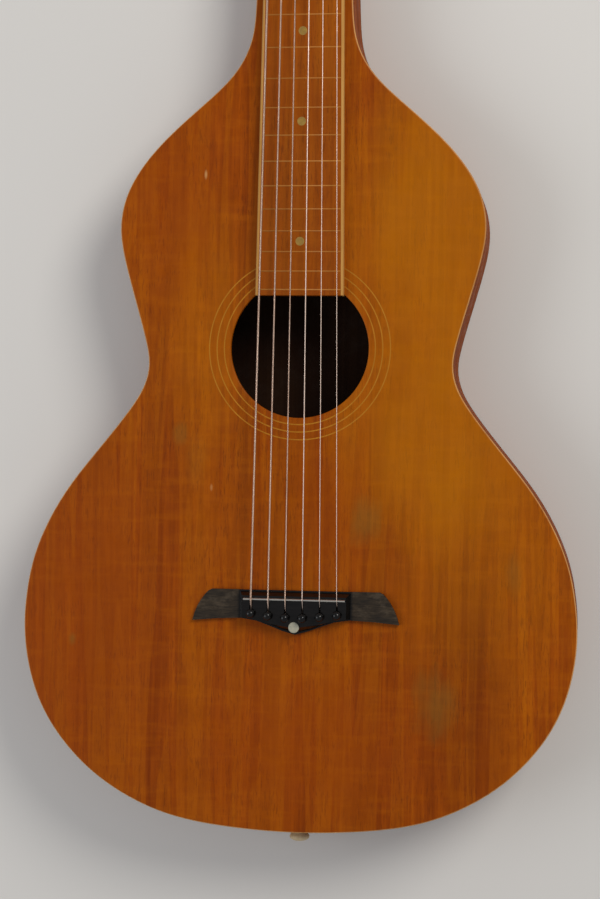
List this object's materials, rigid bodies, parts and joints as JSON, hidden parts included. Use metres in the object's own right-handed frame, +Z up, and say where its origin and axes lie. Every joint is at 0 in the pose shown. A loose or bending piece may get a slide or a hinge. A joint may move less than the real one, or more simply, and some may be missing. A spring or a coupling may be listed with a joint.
{
  "type": "hawaiian guitar",
  "caption": "Hollow-neck lap steel guitar in koa, with round soundhole, wing-shaped bridge with ball-head pins, flush fingerboard and geared tuners.",
  "frame": {"origin": "centre of the bounding box at the height of the flat back, which lies on the ground plane", "axes": "+Z up out of the strings, +Y from the tail towards the headstock, +X towards the treble strings"},
  "size_m": [0.3832, 0.9764, 0.0837],
  "materials": {
    "koa_top": "aged varnish, satin gloss",
    "koa_back_and_sides": "aged varnish, satin gloss",
    "koa_headstock": "aged varnish, satin gloss",
    "koa_fingerboard": "oiled",
    "spruce_brace": "raw",
    "cedar_lining": "raw",
    "mahogany_block": "raw",
    "maple_plate": "raw",
    "pale_wood_binding": "satin",
    "bone": "satin",
    "ebonised_wood": "gloss, worn",
    "nickel_silver": "satin",
    "black_pin": "gloss",
    "plain_steel_string": "bright",
    "bronze_wound_string": "satin",
    "aged_brass": "tarnished",
    "nickel_plate": "tarnished",
    "steel_shaft": "satin",
    "cream_button": "gloss",
    "pearl_dot": "gloss",
    "boxwood_pin": "satin"
  },
  "bodies": {
    "guitar": {"soundboard": "koa_top", "back_plate": "koa_back_and_sides", "side_bass": "koa_back_and_sides", "side_treble": "koa_back_and_sides", "lining_top_bass": "cedar_lining", "lining_top_treble": "cedar_lining", "lining_back_bass": "cedar_lining", "lining_back_treble": "cedar_lining", "tail_block": "mahogany_block", "neck_block": "mahogany_block", "headstock": "koa_headstock", "x_brace_lower_bass": "spruce_brace", "x_brace_lower_treble": "spruce_brace", "tone_bar": "spruce_brace", "upper_face_brace": "spruce_brace", "back_brace_1": "spruce_brace", "back_brace_2": "spruce_brace", "back_brace_3": "spruce_brace", "bridge_plate": "maple_plate", "fingerboard": "koa_fingerboard", "fingerboard_edging_bass": "pale_wood_binding", "fingerboard_edging_treble": "pale_wood_binding", "nut": "bone", "bridge": "ebonised_wood", "saddle": "nickel_silver", "bridge_dot": "pearl_dot", "tuner_plate_bass": "nickel_plate", "tuner_plate_treble": "nickel_plate", "string_1": "bronze_wound_string", "string_2": "bronze_wound_string", "string_3": "bronze_wound_string", "string_4": "plain_steel_string", "string_5": "plain_steel_string", "string_6": "plain_steel_string"},
    "tuner_knob_1": {"tuner_worm_shaft_1": "steel_shaft", "tuner_button_1": "cream_button"},
    "tuner_gear_1": {"tuner_post_1": "aged_brass"},
    "tuner_knob_2": {"tuner_worm_shaft_2": "steel_shaft", "tuner_button_2": "cream_button"},
    "tuner_gear_2": {"tuner_post_2": "aged_brass"},
    "tuner_knob_3": {"tuner_worm_shaft_3": "steel_shaft", "tuner_button_3": "cream_button"},
    "tuner_gear_3": {"tuner_post_3": "aged_brass"},
    "tuner_knob_4": {"tuner_worm_shaft_4": "steel_shaft", "tuner_button_4": "cream_button"},
    "tuner_gear_4": {"tuner_post_4": "aged_brass"},
    "tuner_knob_5": {"tuner_worm_shaft_5": "steel_shaft", "tuner_button_5": "cream_button"},
    "tuner_gear_5": {"tuner_post_5": "aged_brass"},
    "tuner_knob_6": {"tuner_worm_shaft_6": "steel_shaft", "tuner_button_6": "cream_button"},
    "tuner_gear_6": {"tuner_post_6": "aged_brass"},
    "pin_1": {"bridge_pin_1": "black_pin"},
    "pin_2": {"bridge_pin_2": "black_pin"},
    "pin_3": {"bridge_pin_3": "black_pin"},
    "pin_4": {"bridge_pin_4": "black_pin"},
    "pin_5": {"bridge_pin_5": "black_pin"},
    "pin_6": {"bridge_pin_6": "black_pin"},
    "end_peg": {"end_pin": "boxwood_pin"}
  },
  "joints": [
    {"name": "tuner_knob_1_turn", "type": "hinge", "parent": "guitar", "child": "tuner_knob_1", "pos_m": [-0.02431, 0.37147, 0.01784], "axis": [-0.9997, -0.0229, 0.0025], "continuous": true},
    {"name": "tuner_gear_1_turn", "type": "hinge", "parent": "guitar", "child": "tuner_gear_1", "pos_m": [-0.02413, 0.36387, 0.01868], "axis": [0, 0.1098, 0.994], "continuous": true},
    {"name": "tuner_knob_2_turn", "type": "hinge", "parent": "guitar", "child": "tuner_knob_2", "pos_m": [-0.02511, 0.40625, 0.014], "axis": [-0.9997, -0.0229, 0.0025], "continuous": true},
    {"name": "tuner_gear_2_turn", "type": "hinge", "parent": "guitar", "child": "tuner_gear_2", "pos_m": [-0.02494, 0.39865, 0.01484], "axis": [0, 0.1098, 0.994], "continuous": true},
    {"name": "tuner_knob_3_turn", "type": "hinge", "parent": "guitar", "child": "tuner_knob_3", "pos_m": [-0.02592, 0.44103, 0.01016], "axis": [-0.9997, -0.0229, 0.0025], "continuous": true},
    {"name": "tuner_gear_3_turn", "type": "hinge", "parent": "guitar", "child": "tuner_gear_3", "pos_m": [-0.02575, 0.43342, 0.011], "axis": [0, 0.1098, 0.994], "continuous": true},
    {"name": "tuner_knob_4_turn", "type": "hinge", "parent": "guitar", "child": "tuner_knob_4", "pos_m": [0.02592, 0.44103, 0.01016], "axis": [0.9997, -0.0229, 0.0025], "continuous": true},
    {"name": "tuner_gear_4_turn", "type": "hinge", "parent": "guitar", "child": "tuner_gear_4", "pos_m": [0.02575, 0.43342, 0.011], "axis": [0, 0.1098, 0.994], "continuous": true},
    {"name": "tuner_knob_5_turn", "type": "hinge", "parent": "guitar", "child": "tuner_knob_5", "pos_m": [0.02511, 0.40625, 0.014], "axis": [0.9997, -0.0229, 0.0025], "continuous": true},
    {"name": "tuner_gear_5_turn", "type": "hinge", "parent": "guitar", "child": "tuner_gear_5", "pos_m": [0.02494, 0.39865, 0.01484], "axis": [0, 0.1098, 0.994], "continuous": true},
    {"name": "tuner_knob_6_turn", "type": "hinge", "parent": "guitar", "child": "tuner_knob_6", "pos_m": [0.02431, 0.37147, 0.01784], "axis": [0.9997, -0.0229, 0.0025], "continuous": true},
    {"name": "tuner_gear_6_turn", "type": "hinge", "parent": "guitar", "child": "tuner_gear_6", "pos_m": [0.02413, 0.36387, 0.01868], "axis": [0, 0.1098, 0.994], "continuous": true},
    {"name": "pin_1_pull", "type": "slide", "parent": "guitar", "child": "pin_1", "axis": [0, 0.0402, 0.9992], "range_m": [0, 0.03]},
    {"name": "pin_2_pull", "type": "slide", "parent": "guitar", "child": "pin_2", "axis": [0, 0.0402, 0.9992], "range_m": [0, 0.03]},
    {"name": "pin_3_pull", "type": "slide", "parent": "guitar", "child": "pin_3", "axis": [0, 0.0402, 0.9992], "range_m": [0, 0.03]},
    {"name": "pin_4_pull", "type": "slide", "parent": "guitar", "child": "pin_4", "axis": [0, 0.0402, 0.9992], "range_m": [0, 0.03]},
    {"name": "pin_5_pull", "type": "slide", "parent": "guitar", "child": "pin_5", "axis": [0, 0.0402, 0.9992], "range_m": [0, 0.03]},
    {"name": "pin_6_pull", "type": "slide", "parent": "guitar", "child": "pin_6", "axis": [0, 0.0402, 0.9992], "range_m": [0, 0.03]},
    {"name": "end_peg_pull", "type": "slide", "parent": "guitar", "child": "end_peg", "axis": [0, -0.9992, 0.0402], "range_m": [0, 0.03]}
  ],
  "couplings": [
    {"joint": "tuner_gear_1_turn", "follows": "tuner_knob_1_turn", "ratio": -0.071429},
    {"joint": "tuner_gear_2_turn", "follows": "tuner_knob_2_turn", "ratio": -0.071429},
    {"joint": "tuner_gear_3_turn", "follows": "tuner_knob_3_turn", "ratio": -0.071429},
    {"joint": "tuner_gear_4_turn", "follows": "tuner_knob_4_turn", "ratio": 0.071429},
    {"joint": "tuner_gear_5_turn", "follows": "tuner_knob_5_turn", "ratio": 0.071429},
    {"joint": "tuner_gear_6_turn", "follows": "tuner_knob_6_turn", "ratio": 0.071429}
  ]
}
